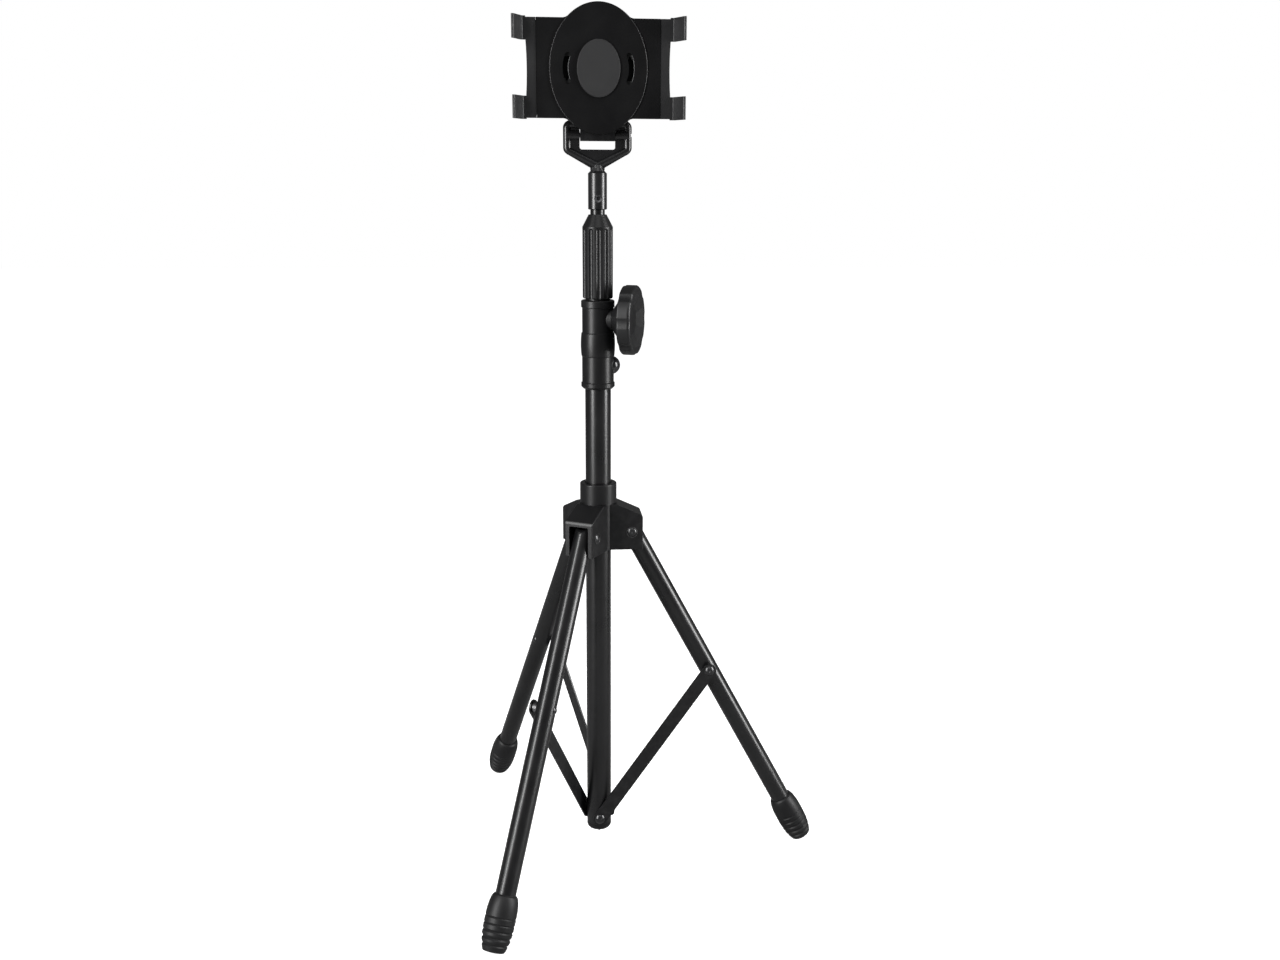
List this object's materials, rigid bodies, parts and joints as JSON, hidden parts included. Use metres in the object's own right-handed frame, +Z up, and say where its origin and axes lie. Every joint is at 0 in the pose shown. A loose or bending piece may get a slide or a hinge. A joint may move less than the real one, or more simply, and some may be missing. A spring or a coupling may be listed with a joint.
{
  "type": "adjustable tablet floor stand",
  "caption": "Free-standing folding tripod with telescopic post, twist clutch, clamp knob and a tilting, turning clamp holder for tablets and phones.",
  "frame": {"origin": "on the floor under the axis of the post", "axes": "+Z up along the post, the holder faces -Y, its jaws slide along +X and -X, and leg 1 points along +X"},
  "size_m": [0.3031, 0.3466, 0.7402],
  "materials": {
    "tube_paint": "gloss black enamel",
    "strap_paint": "satin black enamel",
    "dark_steel": "blackened steel",
    "bright_steel": "plain steel",
    "moulded_black": "fine moulded grain",
    "slide_plastic": "smooth natural nylon",
    "holder_black": "matt black",
    "jaw_grey": "matt dark grey",
    "pad_rubber": "soft matt",
    "foot_rubber": "soft matt with rings"
  },
  "bodies": {
    "post": {"lower_post": "tube_paint", "post_end_plug": "moulded_black", "brace_post_rivets": "dark_steel", "collar": "moulded_black", "collar_bush": "slide_plastic", "collar_fixing_screw": "dark_steel"},
    "brace_1": {"brace_1": "strap_paint"},
    "brace_2": {"brace_2": "strap_paint"},
    "brace_3": {"brace_3": "strap_paint"},
    "leg_1": {"leg_tube_1": "tube_paint", "foot_1": "foot_rubber", "brace_rivet_1": "dark_steel"},
    "leg_2": {"leg_tube_2": "tube_paint", "foot_2": "foot_rubber", "brace_rivet_2": "dark_steel"},
    "leg_3": {"leg_tube_3": "tube_paint", "foot_3": "foot_rubber", "brace_rivet_3": "dark_steel"},
    "hub": {"leg_hub": "moulded_black", "hub_rivets": "dark_steel"},
    "hub_pad": {"hub_clamp_pad": "slide_plastic"},
    "hub_wing": {"hub_wing_screw": "dark_steel"},
    "collar_pad": {"collar_clamp_pad": "slide_plastic"},
    "knob": {"collar_knob": "moulded_black", "knob_stud": "bright_steel"},
    "middle_guide": {"middle_tube_guide": "slide_plastic"},
    "middle_stage": {"middle_tube": "tube_paint", "clutch_body": "moulded_black", "clutch_collet": "slide_plastic"},
    "sleeve": {"clutch_sleeve": "moulded_black"},
    "rod_guide": {"rod_end_guide": "slide_plastic"},
    "neck": {"inner_rod": "tube_paint", "neck_bracket": "strap_paint", "neck_set_screw": "dark_steel", "tilt_pin": "dark_steel"},
    "arm": {"tilt_arm": "strap_paint"},
    "holder": {"rotation_screw": "dark_steel", "holder_front": "holder_black", "holder_back_cover": "holder_black", "cover_screws": "dark_steel", "centre_pad": "pad_rubber"},
    "right_jaw": {"right_jaw": "jaw_grey"},
    "left_jaw": {"left_jaw": "jaw_grey"},
    "pinion": {"jaw_pinion": "slide_plastic"}
  },
  "joints": [
    {"name": "tripod_fold", "type": "hinge", "parent": "post", "child": "brace_1", "pos_m": [0, -0.0123, 0.03413], "axis": [0, -1, 0], "range_deg": [0, 22.9]},
    {"name": "leg_1_on_brace", "type": "hinge", "parent": "brace_1", "child": "leg_1", "pos_m": [0.09864, 0, 0.17528], "axis": [0, 1, 0], "range_deg": [0, 48.24]},
    {"name": "hub_on_leg_1", "type": "hinge", "parent": "leg_1", "child": "hub", "pos_m": [0.0284, 0, 0.306], "axis": [0, -1, 0], "range_deg": [0, 25.34]},
    {"name": "leg_2_on_hub", "type": "hinge", "parent": "hub", "child": "leg_2", "pos_m": [-0.0142, 0.02459, 0.306], "axis": [-0.866, -0.5, 0], "range_deg": [0, 25.34]},
    {"name": "brace_2_on_leg", "type": "hinge", "parent": "leg_2", "child": "brace_2", "pos_m": [-0.04932, 0.08543, 0.17528], "axis": [0.866, 0.5, 0], "range_deg": [0, 48.24]},
    {"name": "leg_3_on_hub", "type": "hinge", "parent": "hub", "child": "leg_3", "pos_m": [-0.0142, -0.02459, 0.306], "axis": [0.866, -0.5, 0], "range_deg": [0, 25.34]},
    {"name": "brace_3_on_leg", "type": "hinge", "parent": "leg_3", "child": "brace_3", "pos_m": [-0.04932, -0.08543, 0.17528], "axis": [-0.866, 0.5, 0], "range_deg": [0, 48.24]},
    {"name": "hub_pad_slide", "type": "slide", "parent": "hub", "child": "hub_pad", "axis": [0.5, 0.866, 0], "range_m": [0, 0.0012]},
    {"name": "hub_wing_turn", "type": "hinge", "parent": "hub_pad", "child": "hub_wing", "pos_m": [0.01, 0.01732, 0.319], "axis": [0.5, 0.866, 0], "range_deg": [0, 541]},
    {"name": "collar_pad_slide", "type": "slide", "parent": "post", "child": "collar_pad", "axis": [0.9478, -0.319, 0], "range_m": [0, 0.0015]},
    {"name": "collar_knob_turn", "type": "hinge", "parent": "collar_pad", "child": "knob", "pos_m": [0.01895, -0.00638, 0.4896], "axis": [0.9478, -0.319, 0], "range_deg": [0, 541]},
    {"name": "middle_tube_slide", "type": "slide", "parent": "post", "child": "middle_guide", "axis": [0, 0, 1], "range_m": [0, 0.38]},
    {"name": "middle_tube_turn", "type": "hinge", "parent": "middle_guide", "child": "middle_stage", "pos_m": [0, 0, 0.3], "axis": [0, 0, 1], "range_deg": [-180, 180]},
    {"name": "clutch_twist", "type": "hinge", "parent": "middle_stage", "child": "sleeve", "pos_m": [0, 0, 0.54], "axis": [0, 0, 1], "range_deg": [0, 120]},
    {"name": "rod_slide", "type": "slide", "parent": "middle_stage", "child": "rod_guide", "axis": [0, 0, 1], "range_m": [0, 0.38]},
    {"name": "head_swivel", "type": "hinge", "parent": "rod_guide", "child": "neck", "pos_m": [0, 0, 0.3], "axis": [0, 0, 1], "range_deg": [-180, 180]},
    {"name": "holder_tilt", "type": "hinge", "parent": "neck", "child": "arm", "pos_m": [0, 0, 0.6394], "axis": [-1, 0, 0], "range_deg": [-15, 60]},
    {"name": "holder_turn", "type": "hinge", "parent": "arm", "child": "holder", "pos_m": [0, 0, 0.6899], "axis": [0, -1, 0], "continuous": true},
    {"name": "right_jaw_slide", "type": "slide", "parent": "holder", "child": "right_jaw", "axis": [1, 0, 0], "range_m": [0, 0.032]},
    {"name": "left_jaw_slide", "type": "slide", "parent": "holder", "child": "left_jaw", "axis": [-1, 0, 0], "range_m": [0, 0.0321]},
    {"name": "jaw_pinion_turn", "type": "hinge", "parent": "holder", "child": "pinion", "pos_m": [0, -0.015, 0.6899], "axis": [0, -1, 0], "range_deg": [0, 229.5]}
  ],
  "couplings": [
    {"joint": "leg_1_on_brace", "follows": "tripod_fold", "ratio": 2.102},
    {"joint": "hub_on_leg_1", "follows": "tripod_fold", "ratio": 1.102},
    {"joint": "leg_2_on_hub", "follows": "tripod_fold", "ratio": 1.102},
    {"joint": "brace_2_on_leg", "follows": "tripod_fold", "ratio": 2.102},
    {"joint": "leg_3_on_hub", "follows": "tripod_fold", "ratio": 1.102},
    {"joint": "brace_3_on_leg", "follows": "tripod_fold", "ratio": 2.102},
    {"joint": "hub_wing_turn", "follows": "hub_pad_slide", "rad_per_m": 7854},
    {"joint": "collar_knob_turn", "follows": "collar_pad_slide", "rad_per_m": 6283.2},
    {"joint": "left_jaw_slide", "follows": "right_jaw_slide", "ratio": 1},
    {"joint": "jaw_pinion_turn", "follows": "right_jaw_slide", "rad_per_m": 125}
  ]
}
